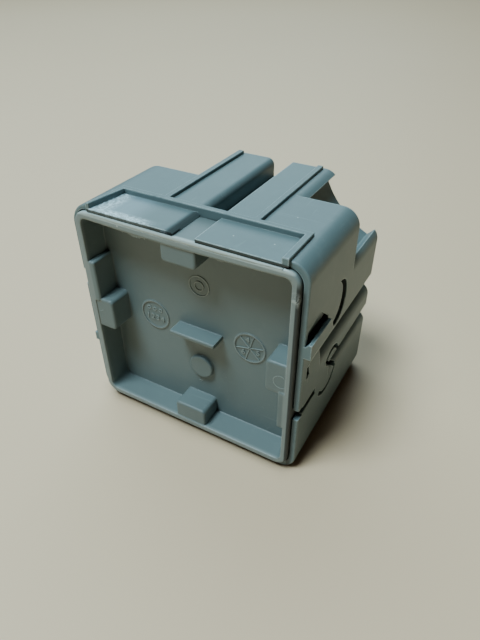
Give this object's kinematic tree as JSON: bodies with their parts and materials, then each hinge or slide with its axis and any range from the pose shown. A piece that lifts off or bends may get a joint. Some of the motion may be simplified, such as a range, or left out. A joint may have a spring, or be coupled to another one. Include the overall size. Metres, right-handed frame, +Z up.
{
  "type": "flush back box",
  "caption": "Square flush-mounting back box of moulded plastic with knock-outs and a side coupling, its mouth closed by a push-in plaster cover with a pull rib.",
  "frame": {"origin": "on the surface that the box stands on, under the middle of its bounding box", "axes": "+Y into the wall, away from the mouth; +X to the right for someone who faces the mouth, towards the coupling rail; +Z up"},
  "size_m": [0.055, 0.0418, 0.0531],
  "materials": {
    "box_plastic": "satin blue-grey, as moulded",
    "cover_plastic": "satin blue-grey, as moulded"
  },
  "bodies": {
    "root": {"back_box": "box_plastic", "plaster_cover": "cover_plastic"}
  },
  "joints": []
}
